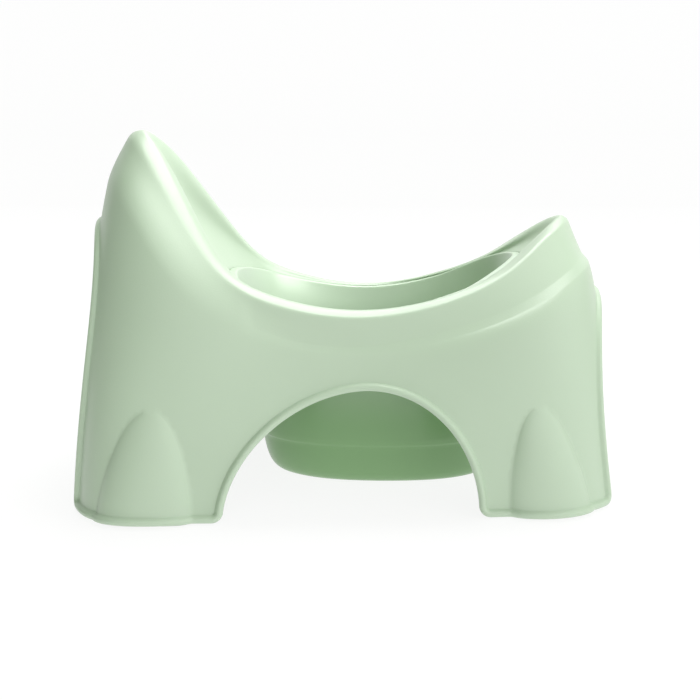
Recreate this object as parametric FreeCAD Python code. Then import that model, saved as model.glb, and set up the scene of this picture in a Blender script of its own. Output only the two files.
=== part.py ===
import FreeCAD, Part
import math
import os

# Potty training chair: a one-piece moulded chair shell on four corner legs, a lift-out bowl
# that hangs in the seat opening, and four rubber foot pads. Millimetres. X points to the
# front (the splash guard), Y to the sitter's left, Z up, and Z = 0 is the floor.

Vector = FreeCAD.Vector

# ---- driving dimensions -------------------------------------------------------------------
WALL = 3.0                # moulded wall of the chair shell
BOWL_WALL = 2.5           # moulded wall of the bowl
FLANGE_GAP = 0.9          # air around the bowl's flange and neck, in plan
FLANGE_SUNK = 0.4         # the flange's top sits this far below the seat's edge
LIFT_CLEAR = 0.3          # the flange floats this far over the ledge
SHELL_BASE = 1.0          # height of the shell's lower edge above the floor

LEDGE_DROP = 4.0          # the bowl's flange sits in a ledge this deep
LEDGE_WIDTH = 4.5         # and this wide
LEDGE_DRAFT = 0.5         # slope of the ledge's upright wall
LEDGE_OVERHANG = 2.5      # the shell's underside steps out by this below the ledge

BEAD_HEIGHT = 3.5         # the rounded border stands this far proud of the wall
BEAD_WIDTH = 5.5          # width of the border around every opening and along the floor
BEAD_ROOT = 1.5           # how deep the border is rooted in the wall

LEG_CORNER = 8.0          # rounding of each leg's corner beside an opening
SIDE_ARCH_CENTRE = 18.5   # X of the top of the two side arches
SIDE_ARCH_BACK = 98.0     # reach of a side arch behind its centre
SIDE_ARCH_FRONT = 77.0    # reach of a side arch in front of its centre
SIDE_ARCH_TOP = 87.5
SIDE_ARCH_BACK_POWER = 1.85
SIDE_ARCH_FRONT_POWER = 2.05
BACK_ARCH_HALF = 112.0    # half width of the opening between the back legs
BACK_ARCH_TOP = 197.0
FRONT_ARCH_HALF = 97.0    # half width of the opening between the front legs
FRONT_ARCH_TOP = 144.0
END_ARCH_POWER = 2.6
ARCH_STEPS = 6            # points on each quarter of an arch
CUT_BELOW = 10.0          # how far the arch cutters reach below the floor
CUT_FAR = 260.0           # how far they reach out past the chair
CUT_END_START = 140.0     # where the end cutters start, clear of the seat
CUT_SIDE_START = 95.0     # where the side cutters start, clear of the bowl's space

BULGE_TOP = 84.0          # height of the pointed bulge over each foot, up inside the wall
BULGE_PROUD = 8.0         # how far it stands out at the floor
BULGE_LEVELS = (0.0, 0.25, 0.5, 0.7, 0.85, 0.97)
BULGE_POWER = 1.4         # its outline is (1 - level ** BULGE_POWER) ** BULGE_TIP_POWER
BULGE_TIP_POWER = 0.5
BULGE_DEPTH = 4.0         # its ovals are centred this far inside the wall's outside
BULGE_LEAN = 11.0         # it leans in with the wall by this much over its height
BACK_BULGE = {"x": -133.0, "y": 149.0, "half_width": 35.0, "turn": -4.0}
FRONT_BULGE = {"x": 145.0, "y": 124.0, "half_width": 30.5, "turn": 14.0}
SOCKET_Z = 8.0            # underside of the web that the foot pad pushes up against
SOCKET_WEB = 3.0
PAD_GAP = 0.6             # pad to socket wall
PEG_RADIUS = 4.0
PEG_HEIGHT = 5.0

# Each ring runs once around the seat. It is given by nine stations on the left half, from
# the front centre over the side to the back centre, and the right half mirrors them. Their X
# is counted from a datum near the middle, and DATUM_X moves it to the middle of the length.
DATUM_X = -2.3
EDGE = [(138, 0, 173.5), (131, 34, 171), (111.5, 64.5, 162), (75.5, 86, 147.3), (20, 91, 138),
        (-32, 90.5, 142.6), (-66, 82, 150.5), (-85, 54, 157), (-92, 0, 160.5)]
SEAT = [(159, 0, 192.5), (150, 20, 188.5), (131, 44, 176.5), (94, 79, 155.5), (20, 94, 139.3),
        (-49, 94, 149.5), (-88, 76, 176), (-128, 32, 237), (-148, 0, 259)]
CREST = [(169, 0, 202.5), (160, 21, 198.5), (138, 48, 182), (99, 83, 157.3), (20, 98, 139.5),
         (-52, 102, 150.8), (-94, 85, 182), (-138, 38, 248), (-157.5, 0, 268)]
OUTER = [(174, 0, 198), (164, 29, 194), (143, 57, 182), (99, 91.5, 152.5), (20, 107.5, 133.3),
         (-52, 111, 144.5), (-99, 96, 178), (-146, 50, 241), (-169, 0, 261)]
CREASE = [(183, 0, 175), (175, 45, 171.5), (152, 78, 158), (104, 102, 136), (20, 112.5, 117),
          (-50, 117.5, 126), (-107, 115, 161), (-155, 72, 215), (-181, 0, 236)]
STEP = [(187.5, 0, 170), (180, 47, 167), (156, 83, 154), (106, 106.2, 131.2), (20, 116, 112.2),
        (-52, 120.5, 121.8), (-110, 118.5, 154), (-158, 76, 210), (-184, 0, 226)]
SKIRT = [(197, 0, 115), (190, 60, 112), (164, 104, 105), (110, 123, 93), (20, 128, 72),
         (-60, 134, 76), (-125, 136, 95), (-174, 104, 120), (-197, 0, 130)]
FLOOR = [(205, 0, SHELL_BASE), (200, 75, SHELL_BASE), (173, 117, SHELL_BASE),
         (115, 130, SHELL_BASE), (20, 139, SHELL_BASE), (-60, 147, SHELL_BASE),
         (-130, 150, SHELL_BASE), (-181, 127, SHELL_BASE), (-206, 0, SHELL_BASE)]
STATIONS = 16             # stations on a whole ring

# The bowl's rings are ovals: centre X, half length, half width, height, corner power.
BOWL_BASE_Z = 1.5
BOWL_OVALS = [(24.0, 100.0, 78.0, 118.0, 2.2), (25.0, 96.5, 71.5, 75.0, 2.25),
              (26.0, 94.0, 66.5, 33.5, 2.3)]
BOWL_LOWER = [(26.0, 92.6, 65.1, 32.0, 2.3), (27.0, 90.5, 62.0, 15.5, 2.3),
              (29.0, 85.5, 56.0, 5.0, 2.3), (31.5, 76.0, 45.0, BOWL_BASE_Z, 2.3)]


# ---- curves and skins ---------------------------------------------------------------------
def whole_ring(half):
    """All stations of a ring from those of its left half."""
    left = [Vector(*point) for point in half]
    right = [Vector(p.x, -p.y, p.z) for p in reversed(left[1:-1])]
    return left + right


def oval_ring(centre, half_length, half_width, height, power):
    """Stations of a level oval with the same number of points as a seat ring."""
    points = []
    for index in range(STATIONS):
        turn = 2.0 * math.pi * index / STATIONS
        along = math.copysign(abs(math.cos(turn)) ** (2.0 / power), math.cos(turn))
        across = math.copysign(abs(math.sin(turn)) ** (2.0 / power), math.sin(turn))
        points.append(Vector(centre + half_length * along, half_width * across, height))
    return points


def shifted_inward(ring, inward, rise):
    """A ring moved towards the middle in plan, and up by rise."""
    points = []
    for index, point in enumerate(ring):
        along = ring[(index + 1) % len(ring)] - ring[index - 1]
        normal = Vector(along.y, -along.x, 0).normalize()
        points.append(point - normal * inward + Vector(0, 0, rise))
    return points


def offset_rings(rings, distance):
    """Rings moved along the normals of the skin through them, outwards for a positive distance."""
    moved = []
    for level, ring in enumerate(rings):
        above = rings[max(level - 1, 0)]
        below = rings[min(level + 1, len(rings) - 1)]
        points = []
        for index, point in enumerate(ring):
            along = ring[(index + 1) % len(ring)] - ring[index - 1]
            down = below[index] - above[index]
            normal = along.cross(down).normalize()
            points.append(point - normal * distance)
        moved.append(points)
    return moved


def ring_curve(points):
    """Smooth closed curve through the stations of a ring."""
    curve = Part.BSplineCurve()
    parameters = [float(index) for index in range(len(points) + 1)]
    curve.interpolate(Points=points, PeriodicFlag=True, Parameters=parameters)
    return curve


def skin(rings):
    """Face through the rings. Two rings give a ruled face, and more give a smooth one."""
    curves = [ring_curve(ring) for ring in rings]
    rows = [curve.getPoles() for curve in curves]
    columns = []
    for index in range(len(rows[0])):
        column = Part.BSplineCurve()
        heights = [float(level) for level in range(len(rings))]
        column.interpolate(Points=[row[index] for row in rows], Parameters=heights)
        columns.append(column)
    poles = [list(row) for row in zip(*[column.getPoles() for column in columns])]
    surface = Part.BSplineSurface()
    surface.buildFromPolesMultsKnots(
        poles, columns[0].getMultiplicities(), curves[0].getMultiplicities(),
        columns[0].getKnots(), curves[0].getKnots(), False, True,
        columns[0].Degree, curves[0].Degree)
    return surface.toShape()


def flat_cap(ring):
    """Level face inside a closed ring."""
    return Part.Face(Part.Wire(ring_curve(ring).toShape()))


def closed_solid(faces):
    """Solid bounded by faces that share their edges."""
    shape = Part.makeCompound(faces)
    shape.sewShape()
    solid = Part.Solid(shape.Shells[0])
    if solid.Volume < 0:
        solid.reverse()
    return solid


def tube_solid(skins):
    """Solid between skins, given as lists of rings that follow on from each other in a loop."""
    return closed_solid([skin(rings) for rings in skins])


# ---- openings -----------------------------------------------------------------------------
def quarter_arch(centre, reach, top, power, turn_start, turn_end):
    """Points on one quarter of an arch, as (along, up) pairs."""
    points = []
    for step in range(ARCH_STEPS + 1):
        turn = turn_start + (turn_end - turn_start) * step / ARCH_STEPS
        along = math.copysign(abs(math.cos(turn)) ** (2.0 / power), math.cos(turn))
        up = abs(math.sin(turn)) ** (2.0 / power)
        points.append((centre + reach * along, top * up))
    return points


def arch_wire(left, right, grow, place):
    """Closed outline of an arch grown by grow, with flared feet that round the leg corners."""
    start = math.asin((LEG_CORNER / left["top"]) ** (left["power"] / 2.0))
    end = math.asin((LEG_CORNER / right["top"]) ** (right["power"] / 2.0))
    rise = quarter_arch(left["centre"], left["reach"] + grow, left["top"] + grow,
                        left["power"], math.pi - start, math.pi / 2.0)
    fall = quarter_arch(right["centre"], right["reach"] + grow, right["top"] + grow,
                        right["power"], math.pi / 2.0, end)
    curve = Part.BSplineCurve()
    curve.interpolate([place(*pair) for pair in rise + fall[1:]])
    first = rise[0]
    last = fall[-1]
    corner = LEG_CORNER - grow
    slope = corner * (1.0 - math.cos(math.pi / 4.0))
    left_foot = Part.Arc(place(first[0] - corner, first[1] - corner),
                         place(first[0] - slope, first[1] - corner + slope), place(*first))
    right_foot = Part.Arc(place(*last), place(last[0] + slope, last[1] - corner + slope),
                          place(last[0] + corner, last[1] - corner))
    low_left = place(first[0] - corner, -CUT_BELOW)
    low_right = place(last[0] + corner, -CUT_BELOW)
    edges = [left_foot.toShape(), curve.toShape(), right_foot.toShape(),
             Part.makeLine(place(last[0] + corner, last[1] - corner), low_right),
             Part.makeLine(low_right, low_left),
             Part.makeLine(low_left, place(first[0] - corner, first[1] - corner))]
    return Part.Wire(edges)


def side_arch(grow, sign):
    """Cutter for the arch on one side."""
    back = {"centre": SIDE_ARCH_CENTRE, "reach": SIDE_ARCH_BACK, "top": SIDE_ARCH_TOP,
            "power": SIDE_ARCH_BACK_POWER}
    front = {"centre": SIDE_ARCH_CENTRE, "reach": SIDE_ARCH_FRONT, "top": SIDE_ARCH_TOP,
             "power": SIDE_ARCH_FRONT_POWER}
    wire = arch_wire(back, front, grow, lambda x, z: Vector(x, sign * CUT_SIDE_START, z))
    return Part.Face(wire).extrude(Vector(0, sign * (CUT_FAR - CUT_SIDE_START), 0))


def end_arch(grow, half, top, sign):
    """Cutter for the opening at the front (sign 1) or the back (sign -1)."""
    side = {"centre": 0.0, "reach": half, "top": top, "power": END_ARCH_POWER}
    wire = arch_wire(side, side, grow, lambda y, z: Vector(sign * CUT_END_START, y, z))
    return Part.Face(wire).extrude(Vector(sign * (CUT_FAR - CUT_END_START), 0, 0))


def all_arches(grow):
    """The four leg openings, grown by grow."""
    return [side_arch(grow, 1), side_arch(grow, -1),
            end_arch(grow, BACK_ARCH_HALF, BACK_ARCH_TOP, -1),
            end_arch(grow, FRONT_ARCH_HALF, FRONT_ARCH_TOP, 1)]


# ---- foot bulges and pads -----------------------------------------------------------------
def bulge(spec, sign, shrink):
    """Pointed half-round bulge over one foot, shrink mm smaller than its outside."""
    wires = []
    for level in BULGE_LEVELS:
        size = (1.0 - level ** BULGE_POWER) ** BULGE_TIP_POWER
        major = (spec["half_width"] - shrink) * size
        minor = (BULGE_PROUD + BULGE_DEPTH - shrink) * size
        inset = BULGE_DEPTH + BULGE_LEAN * level
        oval = Part.Ellipse(Vector(0, 0, 0), major, minor).toShape()
        oval.rotate(Vector(0, 0, 0), Vector(0, 0, 1), -sign * spec["turn"])
        oval.translate(Vector(spec["x"], sign * (spec["y"] - inset), level * (BULGE_TOP - shrink)))
        wires.append(Part.Wire(oval))
    return Part.makeLoft(wires, True, False)


def slab(low, high):
    """Wide flat block between two heights."""
    return Part.makeBox(2 * CUT_FAR, 2 * CUT_FAR, high - low, Vector(-CUT_FAR, -CUT_FAR, low))


def socket_web(spec, sign):
    """Web across the bulge's hollow, with the hole that takes the pad's peg."""
    web = bulge(spec, sign, WALL / 2.0).common(slab(SOCKET_Z, SOCKET_Z + SOCKET_WEB))
    return web.cut(peg(spec, sign))


def peg(spec, sign):
    """Peg of a foot pad, which fills the web's hole."""
    foot = Vector(spec["x"], sign * (spec["y"] - BULGE_DEPTH), SOCKET_Z)
    return Part.makeCylinder(PEG_RADIUS, PEG_HEIGHT, foot)


def foot_pad(spec, sign):
    """Rubber pad under one foot, with the peg that holds it."""
    body = bulge(spec, sign, WALL + PAD_GAP).common(slab(0.0, SOCKET_Z))
    return body.fuse(peg(spec, sign)).removeSplitter()


# ---- the chair shell ----------------------------------------------------------------------
def shell_body():
    """The moulded shell before its openings are cut."""
    edge = whole_ring(EDGE)
    ledge_outer = shifted_inward(edge, LEDGE_DRAFT, -LEDGE_DROP)
    ledge_inner = shifted_inward(edge, LEDGE_WIDTH, -LEDGE_DROP)
    lip_inner = shifted_inward(ledge_inner, 0.0, -WALL)
    lip_outer = shifted_inward(ledge_outer, -LEDGE_OVERHANG, -WALL)
    seat = whole_ring(SEAT)
    rim = [seat, whole_ring(CREST), whole_ring(OUTER), whole_ring(CREASE)]
    skirt = [whole_ring(STEP), whole_ring(SKIRT), whole_ring(FLOOR)]
    inner = offset_rings(rim + skirt, -WALL)
    inner_rim = inner[:len(rim)]
    inner_skirt = inner[len(rim):]
    for point in inner_skirt[-1]:
        point.z = SHELL_BASE
    return tube_solid([
        [lip_inner, ledge_inner], [ledge_inner, ledge_outer], [ledge_outer, edge], [edge, seat],
        rim, [rim[-1], skirt[0]], skirt, [skirt[-1], inner_skirt[-1]], inner_skirt[::-1],
        [inner_skirt[0], inner_rim[-1]], inner_rim[::-1], [inner_rim[0], lip_outer],
        [lip_outer, lip_inner]])


def border_blanket():
    """Skin-hugging layer that the raised borders are cut from."""
    skirt = [whole_ring(STEP), whole_ring(SKIRT), whole_ring(FLOOR)]
    outside = offset_rings(skirt, BEAD_HEIGHT)
    inside = offset_rings(skirt, -BEAD_ROOT)
    for ring in (outside[-1], inside[-1]):
        for point in ring:
            point.z = SHELL_BASE
    return tube_solid([outside, [outside[-1], inside[-1]], inside[::-1], [inside[0], outside[0]]])


def chair_shell():
    """Seat, backrest, splash guard, skirt and legs in one moulding."""
    shell = shell_body()
    zones = all_arches(BEAD_WIDTH) + [slab(0.0, SHELL_BASE + BEAD_WIDTH)]
    border = border_blanket().common(zones[0].multiFuse(zones[1:]))
    feet = [(spec, sign) for spec in (BACK_BULGE, FRONT_BULGE) for sign in (1, -1)]
    bulges = [bulge(spec, sign, 0.0) for spec, sign in feet]
    toe_band = slab(SHELL_BASE, SHELL_BASE + BEAD_WIDTH)
    toes = [bulge(spec, sign, -BEAD_HEIGHT).common(toe_band) for spec, sign in feet]
    shell = shell.multiFuse([border] + bulges + toes)
    hollows = [bulge(spec, sign, WALL) for spec, sign in feet]
    webs = [socket_web(spec, sign) for spec, sign in feet]
    shell = shell.cut(all_arches(0.0) + hollows)
    shell = shell.multiFuse(webs)
    return shell.common(slab(SHELL_BASE, CUT_FAR * 2))


# ---- the bowl -----------------------------------------------------------------------------
def bowl():
    """Lift-out bowl that hangs by its flange in the ledge of the seat opening."""
    edge = whole_ring(EDGE)
    top = shifted_inward(edge, LEDGE_DRAFT + FLANGE_GAP, -FLANGE_SUNK)
    flange_drop = LEDGE_DROP - FLANGE_SUNK - LIFT_CLEAR
    flange_under = shifted_inward(top, LEDGE_DRAFT, -flange_drop)
    neck_inward = LEDGE_WIDTH + FLANGE_GAP
    neck = shifted_inward(edge, neck_inward, LIFT_CLEAR - LEDGE_DROP)
    mouth = shifted_inward(edge, neck_inward + BOWL_WALL, -FLANGE_SUNK)
    walls = [neck] + [oval_ring(*oval) for oval in BOWL_OVALS]
    lower = [oval_ring(*oval) for oval in BOWL_LOWER]
    inside = offset_rings(walls + lower, -BOWL_WALL)
    inner_walls = [mouth] + inside[1:len(walls)]
    inner_lower = inside[len(walls):]
    for point in inner_lower[-1]:
        point.z = BOWL_BASE_Z + BOWL_WALL
    faces = [skin(rings) for rings in (
        [top, flange_under], [flange_under, neck], walls, [walls[-1], lower[0]], lower,
        inner_walls, [inner_walls[-1], inner_lower[0]], inner_lower, [mouth, top])]
    faces.append(flat_cap(lower[-1]))
    faces.append(flat_cap(inner_lower[-1]))
    return closed_solid(faces)


def write_step(name, shape):
    """Centre one sub-part on the chair's length, write it, and print what it came to."""
    shape.translate(Vector(DATUM_X, 0, 0))
    shape.exportStep("parts/" + name + ".step")
    box = shape.BoundBox
    print(name, "valid", shape.isValid(), "solids", len(shape.Solids),
          "volume", round(shape.Volume), "box",
          [round(v, 1) for v in (box.XMin, box.XMax, box.YMin, box.YMax, box.ZMin, box.ZMax)])


os.makedirs("parts", exist_ok=True)
write_step("bowl", bowl())
for end, spec in (("back", BACK_BULGE), ("front", FRONT_BULGE)):
    for side, sign in (("left", 1), ("right", -1)):
        write_step("foot_pad_" + end + "_" + side, foot_pad(spec, sign))
write_step("chair_shell", chair_shell())
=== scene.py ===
import math

import bpy
import numpy as np
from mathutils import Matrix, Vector
from mathutils.geometry import delaunay_2d_cdt


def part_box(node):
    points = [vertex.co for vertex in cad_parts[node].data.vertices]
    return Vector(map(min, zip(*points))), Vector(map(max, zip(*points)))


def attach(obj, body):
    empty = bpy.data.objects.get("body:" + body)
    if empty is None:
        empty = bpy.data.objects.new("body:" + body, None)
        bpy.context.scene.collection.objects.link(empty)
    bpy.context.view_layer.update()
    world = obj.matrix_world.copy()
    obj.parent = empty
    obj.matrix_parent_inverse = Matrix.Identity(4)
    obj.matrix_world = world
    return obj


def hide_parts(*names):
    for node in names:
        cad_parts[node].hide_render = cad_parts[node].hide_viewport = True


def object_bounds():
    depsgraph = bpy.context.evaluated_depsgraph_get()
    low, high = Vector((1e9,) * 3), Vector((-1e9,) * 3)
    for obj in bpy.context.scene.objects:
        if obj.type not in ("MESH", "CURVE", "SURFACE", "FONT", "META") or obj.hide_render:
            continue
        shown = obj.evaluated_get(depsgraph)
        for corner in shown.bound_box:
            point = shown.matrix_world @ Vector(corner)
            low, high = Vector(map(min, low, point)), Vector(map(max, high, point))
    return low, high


# Potty training chair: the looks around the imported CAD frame. The shapes are worked out in
# millimetres, with the names and ring stations of the CAD, and to_frame() puts them in the
# frame's metres.

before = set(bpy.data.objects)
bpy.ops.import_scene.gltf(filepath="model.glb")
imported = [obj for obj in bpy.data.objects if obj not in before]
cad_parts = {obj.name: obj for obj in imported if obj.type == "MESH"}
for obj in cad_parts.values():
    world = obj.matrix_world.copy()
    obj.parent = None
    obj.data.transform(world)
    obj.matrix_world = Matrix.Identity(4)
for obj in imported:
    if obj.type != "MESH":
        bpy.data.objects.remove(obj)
cad_low, cad_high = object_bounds()
shell_low, shell_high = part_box("chair_shell")

# ---- driving dimensions, in millimetres ---------------------------------------------------
# Nine stations on the left half of each ring around the seat, front centre to back centre;
# the right half mirrors them. X is counted from a datum DATUM ahead of the chair's middle.
DATUM = -2.3
BASE = 1.0                # height of the shell's lower edge
EDGE = [(138, 0, 173.5), (131, 34, 171), (111.5, 64.5, 162), (75.5, 86, 147.3), (20, 91, 138),
        (-32, 90.5, 142.6), (-66, 82, 150.5), (-85, 54, 157), (-92, 0, 160.5)]
SEAT = [(159, 0, 192.5), (150, 20, 188.5), (131, 44, 176.5), (94, 79, 155.5), (20, 94, 139.3),
        (-49, 95, 149.5), (-90, 79.5, 178), (-132, 34, 242), (-150, 0, 261)]
CREST = [(169, 0, 202.5), (160, 21, 198.5), (138, 48, 182), (99, 83, 157.3), (20, 98, 139.5),
         (-52, 102, 150.8), (-94, 85, 182), (-138, 38, 248), (-157.5, 0, 268)]
OUTER = [(174, 0, 198), (164, 29, 194), (143, 57, 182), (99, 91.5, 152.5), (20, 107.5, 133.3),
         (-52, 111, 144.5), (-99, 96, 178), (-146, 50, 241), (-169, 0, 261)]
CREASE = [(183, 0, 175), (175, 45, 171.5), (152, 78, 158), (104, 102, 136), (20, 112.5, 117),
          (-50, 117.5, 126), (-107, 115, 161), (-155, 72, 215), (-181, 0, 236)]
STEP = [(187.5, 0, 170), (180, 47, 167), (156, 83, 154), (106, 106.2, 131.2), (20, 116, 112.2),
        (-52, 120.5, 121.8), (-110, 118.5, 154), (-158, 76, 210), (-184, 0, 226)]
SKIRT = [(197, 0, 115), (190, 60, 112), (164, 104, 105), (110, 123, 93), (20, 128, 72),
         (-60, 134, 76), (-125, 136, 95), (-174, 104, 120), (-197, 0, 130)]
FLOOR = [(205, 0, BASE), (200, 75, BASE), (173, 117, BASE), (115, 130, BASE), (20, 139, BASE),
         (-60, 147, BASE), (-130, 150, BASE), (-181, 127, BASE), (-206, 0, BASE)]
STATIONS = 16             # stations on a whole ring
HALF = 8.0                # ring parameter of the back centre, counted from the front centre

WALL = 3.0
LEDGE_DROP = 4.0          # the ledge that the bowl's flange lies in
LEDGE_WIDTH = 4.5
LEDGE_DRAFT = 0.5
LEDGE_OVERHANG = 2.5
LEDGE_ROUND = 1.0         # roundings of the ledge's inner edge, of its root, and of the edge
ROOT_ROUND = 0.8          # where the ledge drops away from the seat
EDGE_ROUND = 1.5
RIM_CORNER = 2.6          # rounding where the rim's top turns down into its flank
BACK_CORNER = 7.0         # the same on the backrest
BACK_FROM = -60.0         # it grows from the one to the other behind this X
BACK_TO = -125.0
HOLLOW = 0.05             # depth of the hollow above the seat's edge, as a share of its height
CREASE_ROUND = 1.0        # rounding of the crease above the step, and of the step
STEP_ROUND_V = 0.02       # share of the skirt's height that the step's rounding takes
FLUSH_FROM = -59.0        # behind this X the step fades, and the flank runs straight down
FLUSH_TO = -70.0

LEG_CORNER = 8.0
SIDE_ARCH = {"centre": 18.5, "back": 98.0, "front": 77.0, "top": 87.5,
             "back_power": 1.85, "front_power": 2.05}
BACK_ARCH = {"half": 112.0, "top": 197.0, "power": 2.6}
FRONT_ARCH = {"half": 97.0, "top": 144.0, "power": 2.6}

# The raised border's section: distance from the opening's edge, and height over the wall.
BORDER = [(6.3, 0.0), (5.95, 0.05), (5.6, 0.3), (5.25, 0.9), (4.8, 1.8), (4.2, 2.6), (3.3, 3.2),
          (2.3, 3.3), (1.3, 3.0), (0.5, 2.2), (0.05, 1.0), (0.0, -0.6), (0.3, -1.8), (1.0, -2.6),
          (2.2, -2.95), (6.3, -3.0)]

# Each foot's bulge: X of its middle at the floor, how far it leans by its top, and its half
# width; then the pad's middle, turn in degrees, and half length and width.
FEET = [{"x": -133.0, "lean": 5.0, "half_width": 33.5,
         "pad_x": -133.0, "pad_y": 145.0, "turn": -4.0, "pad": (31.3, 8.3)},
        {"x": 146.5, "lean": -11.0, "half_width": 29.0,
         "pad_x": 145.0, "pad_y": 120.0, "turn": 14.0, "pad": (26.8, 8.3)}]
FOOT_TOP = 76.0
FOOT_PROUD = 8.5
FOOT_ROUNDNESS = 0.95     # 1 would be a half ellipse with upright sides
PAD_TOP = 7.9
PEG_RADIUS = 4.0
PEG_TOP = 13.0
PEG_GAP = 0.3             # air around the peg in the web's hole
WEB_LOW = 8.1
WEB_HIGH = 11.0
WEB_REACH = 0.9           # the web reaches this far past the pad, into the wall

BOWL_WALL = 2.5
BOWL_BASE = 1.5
FLANGE_GAP = 0.6          # the bowl's flange in its ledge
FLANGE_SUNK = 0.2
LIFT_CLEAR = 0.3
# The bowl's ovals: centre X, half length, half width, height and corner power.
BOWL_OVALS = [(24.0, 100.0, 78.0, 118.0, 2.2), (25.0, 96.5, 71.5, 75.0, 2.25),
              (26.0, 94.0, 66.5, 33.5, 2.3)]
BOWL_LOWER = [(26.0, 92.6, 65.1, 32.0, 2.3), (27.0, 90.5, 62.5, 15.5, 2.3),
              (29.0, 86.0, 57.5, 4.6, 2.3), (31.5, 77.0, 48.5, BOWL_BASE, 2.3)]

MOUTH_ROUND = 1.6         # roundings on the bowl: the inside of its mouth, its flange's top
FLANGE_ROUND = 1.2        # and underside, the neck under it, the step, and the edge under that
UNDER_ROUND = 0.6
NECK_ROUND = 1.0
RING_ROUND = 0.6
LOWER_ROUND = 0.5
BASE_INSET = 6.0          # the flat middle of the bowl's base starts this far in from its rim
BASE_RELIEF = 0.6         # and lies this much higher

# Sections of a foot pad, from the top down: the peg, as radius and height, and then the pad
# with its treads, as distance in from its outline and height.
PEG_SECTION = [(PEG_RADIUS - 0.8, PEG_TOP), (PEG_RADIUS - 0.2, PEG_TOP - 0.3),
               (PEG_RADIUS, PEG_TOP - 1.0), (PEG_RADIUS, PAD_TOP + 0.3), (PEG_RADIUS + 0.2, PAD_TOP)]
PAD_SECTION = [(1.0, PAD_TOP), (0.3, PAD_TOP - 0.2), (0.0, PAD_TOP - 0.8), (0.0, 0.9), (0.25, 0.25),
               (0.8, 0.0), (2.0, 0.0), (2.3, 0.7), (3.2, 0.7), (3.5, 0.0), (4.7, 0.0), (5.0, 0.7),
               (5.9, 0.7), (6.2, 0.0)]

# ---- how fine the meshes are --------------------------------------------------------------
COLUMNS = 560             # columns of the shell around the seat
SKIRT_ROWS = 44
SKIRT_SCALE = np.array([62.0, 130.0])       # rough millimetres for a step of u and of v
NEAREST = 1.5             # no point of the skirt's grid lies nearer than this to a drawn line
# Rows of the seat's top from the seat's edge outwards: to the hollow, seat, crest, shoulder,
# nose, outer edge, top of the flank and crease.
RIM_ROWS = (8, 8, 5, 3, 3, 3, 2, 8)
OUTER_ROW = sum(RIM_ROWS[:6])               # the row on the outer edge
FLUSH_END = 0.78          # share of the way down a flank without a step where the even rows end,
FLUSH_TAIL = [0.81, 0.84, 0.87, 0.92, 0.955, 0.98]      # and the shares of the last rows
# Rows of the seat's underside, as rows of its outside, and how deep under them they lie.
UNDERSIDE = [(40, 2.4), (36, 3.0), (32, 3.0), (28, 3.0), (23, 3.0), (20, 3.0), (17, 3.0),
             (15, 3.0), (11, 3.0), (7, 3.0)]
UNDER_FIRST = 10          # the row of the outside that those rows are counted from
# Lines of points drawn along each bulge, as shares of its half width: first its two sides.
BULGE_LINES = (-1.0, 1.0, -0.965, 0.965, -0.9, 0.9)
# Points along the stretches of the free edge, and around one corner of a leg.
EDGE_POINTS = {"front": 100, "front_foot": 54, "ahead": 64, "behind": 70, "back_foot": 70,
               "back": 130, "corner": 14}
# Ring parameters between which each opening's edge lies, and the bulges.
FRONT_SPAN = (0.0, 3.0)
SIDE_SPAN = (1.6, 7.0)
BACK_SPAN = (6.0, HALF)
BULGE_SPAN = (1.2, 7.4)
ARC_SAMPLES = 400         # points that an arch, a corner and a leg's lower edge are worked out
CORNER_SAMPLES = 60       # from, before they are evenly spaced
LINE_SAMPLES = 300
NEWTON_STEPS = 8
BOWL_COLUMNS = 320
PAD_COLUMNS = 72


# ---- rings and the skirt's surface --------------------------------------------------------
def whole(half):
    """Stations of a whole ring from its left half."""
    left = np.array(half, float)
    return np.vstack([left, left[-2:0:-1] * (1, -1, 1)])


def fitted(stations):
    """Spline coefficients of a closed ring through its stations."""
    unit = np.eye(len(stations))
    matrix = (4 * unit + np.roll(unit, 1, 0) + np.roll(unit, -1, 0)) / 6
    return np.linalg.solve(matrix, stations)


def along(ring, u):
    """Points of a fitted ring at parameters u."""
    cell = np.floor(u).astype(int)
    t = u - cell
    weights = ((1 - t) ** 3, 3 * t ** 3 - 6 * t ** 2 + 4, -3 * t ** 3 + 3 * t ** 2 + 3 * t + 1, t ** 3)
    return sum(w[:, None] * ring[(cell - 1 + k) % len(ring)] for k, w in enumerate(weights)) / 6


def turning(ring, u):
    """Rate of change of a fitted ring at parameters u."""
    cell = np.floor(u).astype(int)
    t = u - cell
    weights = (-(1 - t) ** 2, 3 * t ** 2 - 4 * t, -3 * t ** 2 + 2 * t + 1, t ** 2)
    return sum(w[:, None] * ring[(cell - 1 + k) % len(ring)] for k, w in enumerate(weights)) / 2


SKIRT_RINGS = [fitted(whole(half)) for half in (STEP, SKIRT, FLOOR)]


def skirt(u, v):
    """Points on the skirt's outside, and their slopes around it (u) and down it (v)."""
    here = [along(ring, u) for ring in SKIRT_RINGS]
    shares = ((2 * v - 1) * (v - 1), 4 * v * (1 - v), v * (2 * v - 1))
    slopes = (4 * v - 3, 4 - 8 * v, 4 * v - 1)
    points = sum(s[:, None] * p for s, p in zip(shares, here))
    around = sum(s[:, None] * turning(ring, u) for s, ring in zip(shares, SKIRT_RINGS))
    down = sum(s[:, None] * p for s, p in zip(slopes, here))
    return points, around, down


def unit(vectors):
    """Vectors of length 1."""
    return vectors / np.maximum(np.linalg.norm(vectors, axis=-1, keepdims=True), 1e-9)


def foot_width(foot, rise):
    """Half width of a foot's bulge at a share of its height."""
    return foot["half_width"] * np.sqrt(1 - np.clip(rise, 0, 1) ** 1.4)


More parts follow.
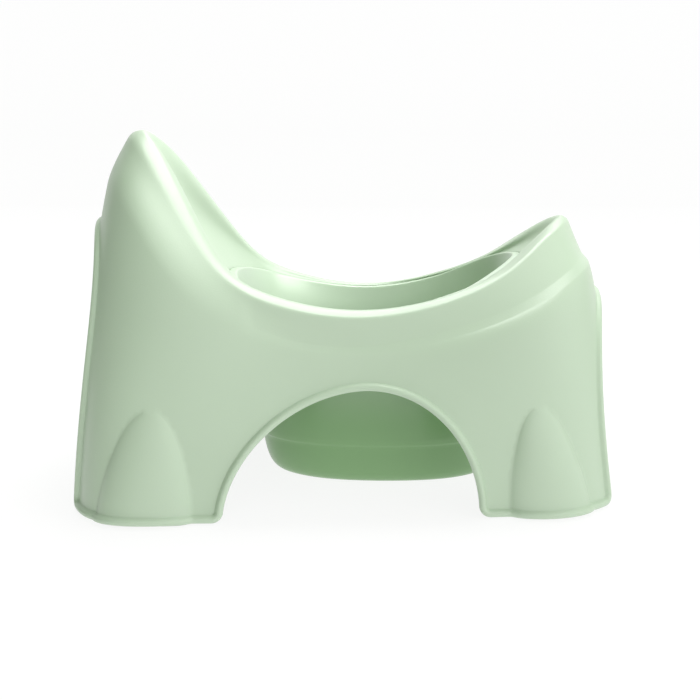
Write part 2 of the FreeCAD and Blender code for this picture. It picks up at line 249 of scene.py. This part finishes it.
def foot_height(points):
    """How far the bulges over the feet stand out at points on the wall."""
    rise = (points[:, 2] - BASE) / (FOOT_TOP - BASE)
    inside = np.clip(rise, 0, 1)
    flat = math.sqrt(1 - FOOT_ROUNDNESS ** 2)
    total = np.zeros(len(points))
    for foot in FEET:
        centre = foot["x"] + foot["lean"] * inside
        side = (points[:, 0] - centre) / np.maximum(foot_width(foot, rise), 1e-3)
        dome = np.sqrt(1 - np.clip(side * FOOT_ROUNDNESS, -1, 1) ** 2) - flat
        proud = FOOT_PROUD * (1 - inside ** 2.2) ** 0.85 * np.maximum(dome, 0) / (1 - flat)
        total += np.where((rise < 1) & (np.abs(side) < 1), proud, 0.0)
    return total


def wall(u, v, height):
    """Points that stand a height over the skirt's outside, bulges included."""
    points, around, down = skirt(u, v)
    normal = unit(np.cross(down, around))
    return points + normal * (foot_height(points) + height)[:, None]


def locate(axis, across, up, span):
    """Skirt parameters where its outside has the given X (axis 0) or Y (axis 1), and height.
    The search starts from a grid over the span of u, and Newton steps sharpen it."""
    grid_u, grid_v = np.meshgrid(np.linspace(*span, 90), np.linspace(-0.1, 1.05, 50))
    grid_u, grid_v = grid_u.ravel(), grid_v.ravel()
    points = skirt(grid_u, grid_v)[0]
    nearest = ((points[None, :, axis] - across[:, None]) ** 2
               + (points[None, :, 2] - up[:, None]) ** 2).argmin(1)
    u, v = grid_u[nearest], grid_v[nearest]
    for _ in range(NEWTON_STEPS):
        points, around, down = skirt(u, v)
        miss, miss_up = across - points[:, axis], up - points[:, 2]
        area = around[:, axis] * down[:, 2] - down[:, axis] * around[:, 2]
        u = u + (miss * down[:, 2] - miss_up * down[:, axis]) / area
        v = v + (miss_up * around[:, axis] - miss * around[:, 2]) / area
    return u, v


# ---- the free edge: arches, leg corners and lower edges -----------------------------------
def spread(u, v, count):
    """The same line on the skirt with count evenly spaced points."""
    points = skirt(u, v)[0]
    run = np.concatenate([[0], np.cumsum(np.linalg.norm(np.diff(points, axis=0), axis=1))])
    even = np.linspace(0, run[-1], count)
    return np.interp(even, run, u), np.interp(even, run, v)


def quarter(centre, reach, top, power):
    """Quarter arch from its top down to the leg's corner, as positions across and up."""
    low = math.asin(((LEG_CORNER + BASE) / top) ** (power / 2))
    turn = np.linspace(math.pi / 2, low, ARC_SAMPLES)
    return centre + reach * np.cos(turn) ** (2 / power), top * np.sin(turn) ** (2 / power)


def corner(across, outwards):
    """Rounded corner from the end of a quarter arch to the leg's lower edge."""
    turn = np.linspace(0, math.pi / 2, CORNER_SAMPLES)
    return (across + outwards * LEG_CORNER * (1 - np.cos(turn)),
            BASE + LEG_CORNER * (1 - np.sin(turn)))


def free_edge():
    """Skirt parameters along the left half's free edge, front centre to back centre."""
    def arch(axis, line, span, name, flip=False):
        """A stretch of an opening's edge; flip runs it from the floor up."""
        u, v = locate(axis, *line, span)
        return spread(*((u[::-1], v[::-1]) if flip else (u, v)), EDGE_POINTS[name])

    def lower_edge(before, after, name):
        """A leg's lower edge, between the corners at its two ends."""
        u = np.linspace(before[0][-1], after[0][0], LINE_SAMPLES)
        return spread(u, np.ones(LINE_SAMPLES), EDGE_POINTS[name])

    side, top = SIDE_ARCH["centre"], SIDE_ARCH["top"]
    front = quarter(0.0, FRONT_ARCH["half"], FRONT_ARCH["top"], FRONT_ARCH["power"])
    ahead = quarter(side, SIDE_ARCH["front"], top, SIDE_ARCH["front_power"])
    behind = quarter(side, -SIDE_ARCH["back"], top, SIDE_ARCH["back_power"])
    back = quarter(0.0, BACK_ARCH["half"], BACK_ARCH["top"], BACK_ARCH["power"])
    front_toe = arch(1, corner(front[0][-1], 1), FRONT_SPAN, "corner")
    front_heel = arch(0, corner(ahead[0][-1], 1), SIDE_SPAN, "corner", True)
    back_toe = arch(0, corner(behind[0][-1], -1), SIDE_SPAN, "corner")
    back_heel = arch(1, corner(back[0][-1], 1), BACK_SPAN, "corner", True)
    parts = [arch(1, front, FRONT_SPAN, "front"), front_toe,
             lower_edge(front_toe, front_heel, "front_foot"), front_heel,
             arch(0, ahead, SIDE_SPAN, "ahead", True), arch(0, behind, SIDE_SPAN, "behind"),
             back_toe, lower_edge(back_toe, back_heel, "back_foot"), back_heel,
             arch(1, back, BACK_SPAN, "back", True)]
    u = np.concatenate([parts[0][0]] + [part[0][1:] for part in parts[1:]])
    v = np.concatenate([parts[0][1]] + [part[1][1:] for part in parts[1:]])
    u[0], u[-1] = 0.0, HALF
    return u, v


def both_halves(u, v):
    """A line on the left half made into a closed one over both halves."""
    return np.concatenate([u, STATIONS - u[-2:0:-1]]), np.concatenate([v, v[-2:0:-1]])


# ---- the shell's mesh ---------------------------------------------------------------------
class Mesh:
    """Points and faces gathered for one piece. Points are rows of an array, faces are indices."""

    def __init__(self):
        self.points, self.faces, self.count = [], [], 0

    def add(self, points):
        """Add points and return their indices."""
        self.points.append(points)
        self.count += len(points)
        return np.arange(self.count - len(points), self.count)

    def band(self, above, below):
        """Faces between two closed loops with the same number of points, facing outwards
        where the loops run anticlockwise and the first lies above the second."""
        ahead, under = np.roll(above, -1), np.roll(below, -1)
        self.faces += np.stack([above, below, under, ahead], 1).tolist()

    def bands(self, loops):
        """Faces between each loop and the next."""
        for above, below in zip(loops[:-1], loops[1:]):
            self.band(above, below)

    def cap(self, loop, height, facing_up=False):
        """Fan of faces from a closed loop to its middle, at a height."""
        around = np.vstack(self.points)[loop]
        middle = self.add(np.array([[around[:, 0].mean(), around[:, 1].mean(), height]]))[0]
        ahead = np.roll(loop, -1)
        first, second = (ahead, loop) if facing_up else (loop, ahead)
        self.faces += [[a, middle, b] for a, b in zip(first.tolist(), second.tolist())]


def to_frame(points):
    """Millimetres from the datum to the frame's metres."""
    middle = (shell_low.x + shell_high.x) / 2
    return (points + (DATUM, 0, 0)) / 1000 + (middle, 0, cad_low.z)


def piece(name, mesh, material, body, stands_for):
    """Object from a gathered mesh that rides on a CAD body in place of a CAD node."""
    data = bpy.data.meshes.new(name)
    data.from_pydata(to_frame(np.vstack(mesh.points)).tolist(), [], mesh.faces)
    data.materials.append(material)
    data.shade_smooth()
    shown = bpy.data.objects.new(name, data)
    bpy.context.scene.collection.objects.link(shown)
    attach(shown, body)
    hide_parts(stands_for)
    return shown


def bent(start, bend, end, count):
    """Rows on a rounded corner, without its ends."""
    shares = np.linspace(0, 1, count + 2)[1:-1]
    return [(1 - t) ** 2 * start + 2 * t * (1 - t) * bend + t ** 2 * end for t in shares]


def toward(start, end, distance):
    """Points at a distance from start on the way to end."""
    return start + unit(end - start) * distance


def inward(points, distance, rise):
    """A closed loop moved towards the middle in plan, and up."""
    step = np.roll(points, -1, 0) - np.roll(points, 1, 0)
    normal = unit(np.stack([step[:, 1], -step[:, 0], 0 * step[:, 2]], 1))
    return points - normal * distance + (0, 0, rise)


def smooth_rows(knots, counts):
    """Rows on a smooth curve through knot loops, with counts of rows from each to the next."""
    spans = [np.linalg.norm(b - a, axis=1) for a, b in zip(knots[:-1], knots[1:])]
    size = len(knots)
    system = np.zeros((len(knots[0]), size, size))
    target = np.zeros((len(knots[0]), size, 3))
    system[:, 0, 0] = system[:, -1, -1] = 1
    for k in range(1, size - 1):
        before, after = spans[k - 1], spans[k]
        system[:, k, k - 1], system[:, k, k], system[:, k, k + 1] = before, 2 * (before + after), after
        target[:, k] = 6 * ((knots[k + 1] - knots[k]) / after[:, None]
                            - (knots[k] - knots[k - 1]) / before[:, None])
    bends = np.linalg.solve(system, target)
    rows = []
    for k, count in enumerate(counts):
        span = spans[k][:, None]
        for t in np.arange(count) / count:
            curve = ((1 - t) ** 3 - (1 - t)) * bends[:, k] + (t ** 3 - t) * bends[:, k + 1]
            rows.append((1 - t) * knots[k] + t * knots[k + 1] + span ** 2 * curve / 6)
    return rows + [knots[-1]]


def normals_of(rows):
    """Outward directions on rows that run from above to below."""
    grid = np.array(rows)
    around = np.roll(grid, -1, 1) - np.roll(grid, 1, 1)
    down = np.gradient(grid, axis=0)
    return unit(np.cross(down, around))


def seat_rows():
    """Rows from the ledge in the seat opening, over the rim, to the top of the skirt."""
    u = np.arange(COLUMNS) * STATIONS / COLUMNS
    edge, seat, crest, outer, crease, step = (
        along(fitted(whole(half)), u) for half in (EDGE, SEAT, CREST, OUTER, CREASE, STEP))
    ledge_outer = inward(edge, LEDGE_DRAFT, -LEDGE_DROP)
    ledge_inner = inward(edge, LEDGE_WIDTH, -LEDGE_DROP)
    ledge_under = ledge_inner - (0, 0, WALL)
    skirt_v = np.full(COLUMNS, STEP_ROUND_V)
    skirt_top, _, skirt_down = skirt(u, skirt_v)

    softer = np.clip((outer[:, :1] - BACK_FROM) / (BACK_TO - BACK_FROM), 0, 1)
    rounding = RIM_CORNER + (BACK_CORNER - RIM_CORNER) * softer
    bend = outer + unit(outer - crease) * rounding
    shoulder = toward(bend, crest, rounding)
    nose = bent(shoulder, bend, outer, 1)[0]
    flank_top = toward(outer, crease, rounding)
    # The backrest and the splash guard are slightly hollow on the inside.
    chord = seat - edge
    upright = unit((0, 0, 1) - chord * chord[:, 2:] / (chord ** 2).sum(1)[:, None])
    sunk = (edge + seat) / 2 - upright * np.linalg.norm(chord, axis=1, keepdims=True) * HOLLOW
    over = smooth_rows([edge, sunk, seat, crest, shoulder, nose, outer, flank_top, crease], RIM_ROWS)
    flank = over[OUTER_ROW:]
    # Behind the seat the flank runs down into the skirt without a step.
    fade = np.clip((crease[:, :1] - FLUSH_FROM) / (FLUSH_TO - FLUSH_FROM), 0, 1)
    fade = fade * fade * (3 - 2 * fade)
    fall = np.linalg.norm(step - outer, axis=1, keepdims=True)
    leave = unit(over[OUTER_ROW + 1] - over[OUTER_ROW - 1]) * fall
    arrive = unit(skirt_down) * fall

    def flush(t):
        """A row of the flank without a step, at a share of the way down."""
        return ((2 * t ** 3 - 3 * t ** 2 + 1) * outer + (t ** 3 - 2 * t ** 2 + t) * leave
                + (3 * t ** 2 - 2 * t ** 3) * step + (t ** 3 - t ** 2) * arrive)

    stepped = flank[:-1] + bent(toward(crease, flank[-2], CREASE_ROUND), crease,
                                toward(crease, step, CREASE_ROUND), 3)
    stepped += bent(toward(step, crease, CREASE_ROUND), step, skirt_top, 3)
    shares = np.concatenate([np.linspace(0, FLUSH_END, len(flank) - 1), FLUSH_TAIL])
    joined = [row * (1 - fade) + flush(t) * fade for row, t in zip(stepped, shares)]

    lip = [ledge_under]
    lip += bent(toward(ledge_inner, ledge_under, LEDGE_ROUND), ledge_inner,
                toward(ledge_inner, ledge_outer, LEDGE_ROUND), 3)
    lip += bent(toward(ledge_outer, ledge_inner, ROOT_ROUND), ledge_outer,
                toward(ledge_outer, edge, ROOT_ROUND), 3)
    lip += bent(toward(edge, ledge_outer, EDGE_ROUND), edge, toward(edge, over[1], EDGE_ROUND), 3)
    return lip + over[1:OUTER_ROW] + joined, skirt_top


def skirt_mesh(inner_u, inner_v):
    """Triangles over the left half of the skirt, from its rounded top to the border.
    Returns the points' skirt parameters, the triangles, which loop or line point each one is
    (or -1), and how many of those lie along the top and down the back centre."""
    half = COLUMNS // 2
    columns = np.linspace(0, HALF, half + 1)
    levels = np.linspace(STEP_ROUND_V, 1.0, SKIRT_ROWS)
    clear = (levels[1] - levels[0]) * 0.7
    back = levels[(levels > levels[0]) & (levels < inner_v[-1] - clear)]
    front = levels[(levels > levels[0]) & (levels < inner_v[0] - clear)]
    loop = np.stack([
        np.concatenate([columns, np.full(len(back), HALF), inner_u[::-1], np.zeros(len(front))]),
        np.concatenate([np.full(half + 1, levels[0]), back, inner_v[::-1], front[::-1]])], 1)
    lines = []
    rise = np.concatenate([np.linspace(0.125, 0.88, 36), np.linspace(0.9, 0.985, 9)])
    for foot in FEET:
        for side in BULGE_LINES:
            x = foot["x"] + foot["lean"] * rise + side * foot_width(foot, rise)
            lines.append(np.stack(locate(0, x, BASE + rise * (FOOT_TOP - BASE), BULGE_SPAN), 1))
    fixed = np.vstack([loop] + lines)

    grid = np.stack(np.meshgrid(columns[1:-1], levels[1:-1]), -1).reshape(-1, 2)
    inside = np.zeros(len(grid), bool)
    for (ax, ay), (bx, by) in zip(loop, np.roll(loop, -1, 0)):
        if ay != by:
            crosses = (ay > grid[:, 1]) != (by > grid[:, 1])
            inside ^= crosses & (grid[:, 0] < (bx - ax) * (grid[:, 1] - ay) / (by - ay) + ax)
    grid = grid[inside]
    nearest = [(((fixed - point) * SKIRT_SCALE) ** 2).sum(1).min() for point in grid]
    points = np.vstack([fixed, grid[np.array(nearest) > NEAREST ** 2]])

    # The sides of each bulge are kept as edges, so that its outline stays sharp.
    ridges, start = [], len(loop)
    for index, line in enumerate(lines):
        if index % len(BULGE_LINES) < 2:
            ridges += [(start + k, start + k + 1) for k in range(len(line) - 1)]
        start += len(line)
    made = delaunay_2d_cdt([Vector(p) for p in points * SKIRT_SCALE], ridges,
                           [list(range(len(loop)))], 1, 1e-5, True)
    triangles = np.array([face for face, inside_of in zip(made[2], made[5]) if inside_of])
    source = np.array([ids[0] if ids else -1 for ids in made[3]])
    drawn = np.array([tuple(p) for p in made[0]]) / SKIRT_SCALE
    found = np.where(source[:, None] >= 0, points[source], drawn)
    return found, triangles, source, half + 1, len(back)


def add_skirt(mesh, skin, top, rim, height):
    """Both halves of the skirt's outside (height 0) or inside (height -WALL) between the
    loops top and rim, which are there already."""
    found, triangles, source, tops, backs = skin
    half_rim = len(rim) // 2 + 1
    left = np.full(len(found), -1)
    right = np.full(len(found), -1)
    on_top = (source >= 0) & (source < tops)
    left[on_top] = top[source[on_top]]
    right[on_top] = top[-source[on_top] % len(top)]
    on_rim = (source >= tops + backs) & (source < tops + backs + half_rim)
    place = half_rim - 1 - (source[on_rim] - tops - backs)
    left[on_rim] = rim[place % len(rim)]
    right[on_rim] = rim[-place % len(rim)]
    middle = (left < 0) & ((found[:, 0] <= 0) | (found[:, 0] >= HALF))
    left[middle] = right[middle] = mesh.add(wall(*found[middle].T, height))
    rest = left < 0
    here = wall(*found[rest].T, height)
    left[rest] = mesh.add(here)
    right[rest] = mesh.add(here * (1, -1, 1))
    outside = height == 0
    mesh.faces += left[triangles][:, ::-1 if outside else 1].tolist()
    mesh.faces += right[triangles][:, ::1 if outside else -1].tolist()


def add_web(mesh, foot, side):
    """Web inside a foot's bulge, with the hole for the pad's peg."""
    turn = np.linspace(0, 2 * math.pi, PAD_COLUMNS, endpoint=False)
    outline = foot_oval(foot, side, foot["pad"][0] + WEB_REACH, foot["pad"][1] + WEB_REACH, turn)
    hole = foot_oval(foot, side, PEG_RADIUS + PEG_GAP, PEG_RADIUS + PEG_GAP, turn)
    low, high = (0, 0, WEB_LOW), (0, 0, WEB_HIGH)
    loops = [mesh.add(loop + level) for loop, level in (
        (hole, low), (hole, high), (outline, high), (outline, low))]
    mesh.bands(loops + loops[:1])


def foot_oval(foot, side, half_length, half_width, turn):
    """Oval around a foot pad's middle at floor level, seen from above."""
    angle = math.radians(-foot["turn"])
    along_x, along_y = half_length * np.cos(turn), half_width * np.sin(turn)
    x = foot["pad_x"] + along_x * math.cos(angle) - along_y * math.sin(angle)
    y = foot["pad_y"] + along_x * math.sin(angle) + along_y * math.cos(angle)
    if side < 0:
        x, y = x[::-1], -y[::-1]
    return np.stack([x, y, np.zeros(len(turn))], 1)


def from_edge(u, v):
    """Changes of u and v for a millimetre from the free edge into the wall, square to it."""
    points, around, down = skirt(u, v)
    normal = unit(np.cross(down, around))
    tangent = unit(np.roll(points, -1, 0) - np.roll(points, 1, 0))
    into = np.cross(normal, tangent)
    size_u, size_v = (around ** 2).sum(1), (down ** 2).sum(1)
    mixed, to_u, to_v = (around * down).sum(1), (into * around).sum(1), (into * down).sum(1)
    area = size_u * size_v - mixed ** 2
    return (to_u * size_v - to_v * mixed) / area, (to_v * size_u - to_u * mixed) / area


def underside(rows, skirt_top):
    """Rows of the shell's inside, from the top of the skirt up to the ledge."""
    columns = np.arange(COLUMNS) * STATIONS / COLUMNS
    outside = rows[UNDER_FIRST:] + [skirt_top]
    normals = normals_of(outside)
    under = [wall(columns, np.full(COLUMNS, STEP_ROUND_V), -WALL)]
    under += [outside[index] - normals[index] * depth for index, depth in UNDERSIDE]
    return under + [inward(rows[0], LEDGE_DRAFT - LEDGE_OVERHANG - LEDGE_WIDTH, 0)]


def chair_shell():
    """The one-piece shell: seat, backrest, splash guard, skirt, legs and border."""
    mesh = Mesh()
    rows, skirt_top = seat_rows()
    edge_u, edge_v = free_edge()
    u, v = both_halves(edge_u, edge_v)
    step_u, step_v = from_edge(u, v)
    border = [mesh.add(wall(u + step_u * d, v + step_v * d, h)) for d, h in BORDER]
    mesh.bands(border)

    reach = BORDER[0][0]
    count = len(edge_u)
    inner_u, inner_v = edge_u + step_u[:count] * reach, edge_v + step_v[:count] * reach
    inner_u[0], inner_u[-1] = 0.0, HALF
    skin = skirt_mesh(inner_u, inner_v)
    loops = [mesh.add(row) for row in rows + [skirt_top]]
    mesh.bands(loops)
    add_skirt(mesh, skin, loops[-1], border[0], 0)

    inner_loops = [mesh.add(row) for row in underside(rows, skirt_top)]
    mesh.bands(inner_loops)
    mesh.band(inner_loops[-1], loops[0])
    add_skirt(mesh, skin, inner_loops[0], border[-1], -WALL)
    for foot in FEET:
        for side in (1, -1):
            add_web(mesh, foot, side)
    return mesh


# ---- the bowl and the foot pads -----------------------------------------------------------
def oval(centre, half_length, half_width, height, power):
    """Level oval with the bowl's columns, through the same stations as the CAD's."""
    turn = 2 * math.pi * np.arange(STATIONS) / STATIONS
    cosine, sine = np.round(np.cos(turn), 12), np.round(np.sin(turn), 12)
    x = centre + half_length * np.sign(cosine) * np.abs(cosine) ** (2 / power)
    y = half_width * np.sign(sine) * np.abs(sine) ** (2 / power)
    stations = np.stack([x, y, np.full(STATIONS, height)], 1)
    return along(fitted(stations), np.arange(BOWL_COLUMNS) * STATIONS / BOWL_COLUMNS)


def bowl():
    """The lift-out bowl with its flange, seen from inside and out."""
    mesh = Mesh()
    edge = along(fitted(whole(EDGE)), np.arange(BOWL_COLUMNS) * STATIONS / BOWL_COLUMNS)
    top = inward(edge, LEDGE_DRAFT + FLANGE_GAP, -FLANGE_SUNK)
    under = inward(top, LEDGE_DRAFT, FLANGE_SUNK + LIFT_CLEAR - LEDGE_DROP)
    neck = inward(edge, LEDGE_WIDTH + FLANGE_GAP, LIFT_CLEAR - LEDGE_DROP)
    mouth = inward(edge, LEDGE_WIDTH + FLANGE_GAP + BOWL_WALL, -FLANGE_SUNK)
    body = [oval(*row) for row in BOWL_OVALS]
    foot = [oval(*row) for row in BOWL_LOWER]

    outside = [neck] + body + foot
    depth = normals_of(outside) * BOWL_WALL
    inner = [row - d for row, d in zip(outside, depth)]
    floor = inner[-1] * (1, 1, 0) + (0, 0, BOWL_BASE + BOWL_WALL)
    # The inside has no step, so it leaves out the row under it.
    rising = smooth_rows([floor, inner[6], inner[5], inner[3], inner[2], inner[1], mouth],
                         (8, 8, 6, 8, 8, 8))
    first = mesh.add(inward(floor, BASE_INSET, 0))
    mesh.cap(first, BOWL_BASE + BOWL_WALL, facing_up=True)
    lip_in, lip_top = toward(mouth, rising[-2], MOUTH_ROUND), toward(mouth, top, MOUTH_ROUND)
    rows = rising[:-1] + [lip_in] + bent(lip_in, mouth, lip_top, 4)
    rows += [toward(mouth, top, MOUTH_ROUND + 0.1), toward(top, mouth, FLANGE_ROUND + 0.1)]
    rows += bent(toward(top, mouth, FLANGE_ROUND), top, toward(top, under, FLANGE_ROUND), 4)
    rows += [toward(under, top, UNDER_ROUND + 0.1)]
    rows += bent(toward(under, top, UNDER_ROUND), under, toward(under, neck, UNDER_ROUND), 2)
    falling = smooth_rows([neck] + body, (8, 8, 8))
    rows += bent(toward(neck, under, NECK_ROUND), neck, falling[1], 3) + falling[1:-1]
    ring = body[-1]
    rows += bent(toward(ring, falling[-2], RING_ROUND), ring, toward(ring, foot[0], RING_ROUND), 2)
    lower = smooth_rows(foot, (5, 6, 8))
    rows += bent(toward(foot[0], ring, LOWER_ROUND), foot[0], toward(foot[0], lower[1], LOWER_ROUND), 2)
    rows += lower[1:] + [inward(lower[-1], reach, rise) for reach, rise in (
        (1.5, 0), (3.0, BASE_RELIEF), (BASE_INSET, BASE_RELIEF))]
    loops = [first] + [mesh.add(row) for row in rows]
    mesh.bands(loops)
    mesh.cap(loops[-1], BOWL_BASE + BASE_RELIEF)
    return mesh


def foot_pad(foot, side):
    """Rubber pad under a foot, with treads below and its peg above."""
    mesh = Mesh()
    turn = np.linspace(0, 2 * math.pi, PAD_COLUMNS, endpoint=False)
    length, width = foot["pad"]
    halves = [(radius, radius, height) for radius, height in PEG_SECTION]
    halves += [(length - inset, width - inset, height) for inset, height in PAD_SECTION]
    loops = [mesh.add(foot_oval(foot, side, half_length, half_width, turn) + (0, 0, height))
             for half_length, half_width, height in halves]
    mesh.bands(loops)
    mesh.cap(loops[0], PEG_TOP, facing_up=True)
    mesh.cap(loops[-1], 0.0)
    return mesh


# ---- finishes -----------------------------------------------------------------------------
# Lengths are in metres from here on.
PAINTED_SHADE_BELOW = 0.045        # heights between which painted shade darkens the bowl's tone
PAINTED_SHADE_ABOVE = 0.132
GRAIN_HEIGHT = 0.0002


def moulded_plastic(name, colour, roughness, grain, gloss, painted_shade=None):
    """Satin moulded plastic: faint drifts of tone and sheen, and a fine moulded grain. Given a
    colour for painted shade, its tone darkens into that colour towards the base."""
    material = bpy.data.materials.new(name)
    material.use_nodes = True
    nodes, links = material.node_tree.nodes, material.node_tree.links
    surface = nodes["Principled BSDF"]
    place = nodes.new("ShaderNodeTexCoord")

    def noise(scale, detail):
        made = nodes.new("ShaderNodeTexNoise")
        made.inputs["Scale"].default_value = scale
        made.inputs["Detail"].default_value = detail
        links.new(place.outputs["Object"], made.inputs["Vector"])
        return made

    drift = noise(9.0, 3.0)
    tone = nodes.new("ShaderNodeMix")
    tone.data_type = "RGBA"
    tone.inputs["A"].default_value = [c * 0.965 for c in colour] + [1.0]
    tone.inputs["B"].default_value = [min(c * 1.03, 1.0) for c in colour] + [1.0]
    links.new(drift.outputs["Fac"], tone.inputs["Factor"])
    shade = tone
    # Painted shade: the tone darkens into the given colour lower down, standing in for the shade under
    # the chair.
    if painted_shade:
        split = nodes.new("ShaderNodeSeparateXYZ")
        links.new(place.outputs["Object"], split.inputs["Vector"])
        rise = nodes.new("ShaderNodeMapRange")
        rise.interpolation_type = "SMOOTHSTEP"
        rise.inputs["From Min"].default_value = PAINTED_SHADE_BELOW
        rise.inputs["From Max"].default_value = PAINTED_SHADE_ABOVE
        links.new(split.outputs["Z"], rise.inputs["Value"])
        shade = nodes.new("ShaderNodeMix")
        shade.data_type = "RGBA"
        shade.inputs["A"].default_value = [*painted_shade, 1.0]
        links.new(rise.outputs["Result"], shade.inputs["Factor"])
        links.new(tone.outputs["Result"], shade.inputs["B"])
    links.new(shade.outputs["Result"], surface.inputs["Base Color"])

    sheen = nodes.new("ShaderNodeMapRange")
    sheen.inputs["To Min"].default_value = roughness - 0.04
    sheen.inputs["To Max"].default_value = roughness + 0.05
    links.new(noise(38.0, 4.0).outputs["Fac"], sheen.inputs["Value"])
    links.new(sheen.outputs["Result"], surface.inputs["Roughness"])

    bump = nodes.new("ShaderNodeBump")
    bump.inputs["Strength"].default_value = grain
    bump.inputs["Distance"].default_value = GRAIN_HEIGHT
    links.new(noise(900.0, 2.0).outputs["Fac"], bump.inputs["Height"])
    links.new(bump.outputs["Normal"], surface.inputs["Normal"])
    surface.inputs["IOR"].default_value = 1.49
    surface.inputs["Coat Weight"].default_value = gloss
    surface.inputs["Coat Roughness"].default_value = 0.22
    surface.inputs["Subsurface Weight"].default_value = 0.12
    surface.inputs["Subsurface Radius"].default_value = (0.9, 1.0, 0.8)
    surface.inputs["Subsurface Scale"].default_value = 0.004
    return material


# ---- the studio ---------------------------------------------------------------------------
FLOOR_REACH = 6.0


def studio_floor():
    """Plain pale floor that turns up into a plain pale wall far behind the chair."""
    material = bpy.data.materials.new("Pale_Floor")
    material.use_nodes = True
    surface = material.node_tree.nodes["Principled BSDF"]
    surface.inputs["Base Color"].default_value = (0.12, 0.12, 0.12, 1.0)
    surface.inputs["Roughness"].default_value = 0.7
    surface.inputs["Specular IOR Level"].default_value = 0.1
    surface.inputs["Emission Color"].default_value = (1.0, 1.0, 1.0, 1.0)
    surface.inputs["Emission Strength"].default_value = 0.87
    data = bpy.data.meshes.new("Floor")
    low = cad_low.z - 0.0002
    section = [(-FLOOR_REACH, low), (4.0, low), (4.6, low + 0.1), (5.1, low + 0.5),
               (5.2, low + 1.1), (5.2, low + 5.0)]
    data.from_pydata([(x, y, z) for y, z in section for x in (-FLOOR_REACH, FLOOR_REACH)], [],
                     [(2 * k, 2 * k + 1, 2 * k + 3, 2 * k + 2) for k in range(len(section) - 1)])
    data.shade_smooth()
    data.materials.append(material)
    floor = bpy.data.objects.new("Floor", data)
    bpy.context.scene.collection.objects.link(floor)


def softbox(name, place, size, power, aim):
    """Large soft light that faces a point."""
    data = bpy.data.lights.new(name, "AREA")
    data.shape = "RECTANGLE"
    data.size, data.size_y = size
    data.energy = power
    lamp = bpy.data.objects.new(name, data)
    lamp.location = place
    lamp.rotation_euler = (aim - place).to_track_quat("-Z", "Y").to_euler()
    bpy.context.scene.collection.objects.link(lamp)


def studio_sky(level, by_x, by_y, by_z, least, most):
    """Surroundings whose brightness drifts with direction, as in a studio tent: white where
    they are bright and green where they are dim. The brightness is held between two values."""
    world = bpy.data.worlds.new("Studio")
    world.use_nodes = True
    nodes, links = world.node_tree.nodes, world.node_tree.links
    place = nodes.new("ShaderNodeTexCoord")
    share = nodes.new("ShaderNodeVectorMath")
    share.operation = "DOT_PRODUCT"
    share.inputs[1].default_value = (by_x, by_y, by_z)
    links.new(place.outputs["Generated"], share.inputs[0])
    total = nodes.new("ShaderNodeMath")
    total.inputs[1].default_value = level
    links.new(share.outputs["Value"], total.inputs[0])
    held = nodes.new("ShaderNodeClamp")
    held.inputs["Min"].default_value = least
    held.inputs["Max"].default_value = most
    links.new(total.outputs["Value"], held.inputs["Value"])
    links.new(held.outputs["Result"], nodes["Background"].inputs["Strength"])
    tint = nodes.new("ShaderNodeMix")
    tint.data_type = "RGBA"
    tint.inputs["A"].default_value = (0.72, 1.0, 0.60, 1.0)
    tint.inputs["B"].default_value = (1.0, 1.0, 1.0, 1.0)
    links.new(held.outputs["Result"], tint.inputs["Factor"])
    links.new(tint.outputs["Result"], nodes["Background"].inputs["Color"])
    bpy.context.scene.world = world


# ---- the scene ----------------------------------------------------------------------------
AIM_AHEAD = 0.0012        # the camera and the light aim here: ahead of the chair's middle
AIM_HEIGHT = 0.095        # and over the floor
LENS = 51.43              # in millimetres, like the sensor's width
SENSOR = 36.0
YAW = math.radians(-1.3)
PITCH = math.radians(9.49)
DISTANCE = 0.8032

mint = moulded_plastic("Mint_Polypropylene", (0.475, 0.59, 0.445), 0.42, 0.25, 0.15)
# The bowl's plastic is the same mint as the chair's. Its copy here is a little lighter, which is
# painted light on its inside, and it darkens into a deeper green towards its base, which is painted
# shade.
bowl_mint_painted_light_shade = moulded_plastic("Mint_Polypropylene_Bowl_Painted_Light_Shade", (0.50, 0.625, 0.47), 0.36, 0.15, 0.3,
                            (0.19, 0.35, 0.15))
rubber = moulded_plastic("Soft_Rubber", (0.40, 0.50, 0.39), 0.75, 0.8, 0.0)

piece("Moulded_Chair", chair_shell(), mint, "chair", "chair_shell")
piece("Lift_Out_Bowl", bowl(), bowl_mint_painted_light_shade, "bowl", "bowl")
for foot, end in zip(FEET, ("back", "front")):
    for side, hand in ((1, "left"), (-1, "right")):
        node = "foot_pad_" + end + "_" + hand
        piece(node.title(), foot_pad(foot, side), rubber, "chair", node)

studio_floor()
centre = (cad_low + cad_high) / 2
aim = Vector((centre.x + AIM_AHEAD, centre.y, cad_low.z + AIM_HEIGHT))
studio_sky(level=-0.22, by_x=1.4, by_y=-1.3, by_z=0.6, least=0.12, most=2.0)
softbox("Top_Light", aim + Vector((0.22, 0.62, 1.5)), (1.2, 1.2), 30.0, aim)

camera_data = bpy.data.cameras.new("Camera")
camera_data.lens = LENS
camera_data.sensor_width = SENSOR
camera = bpy.data.objects.new("Camera", camera_data)
bpy.context.scene.collection.objects.link(camera)
facing = Vector((math.sin(YAW) * math.cos(PITCH), math.cos(YAW) * math.cos(PITCH), -math.sin(PITCH)))
camera.location = aim - facing * DISTANCE
camera.rotation_euler = facing.to_track_quat("-Z", "Y").to_euler()
bpy.context.scene.camera = camera
bpy.context.scene.view_settings.view_transform = "Standard"
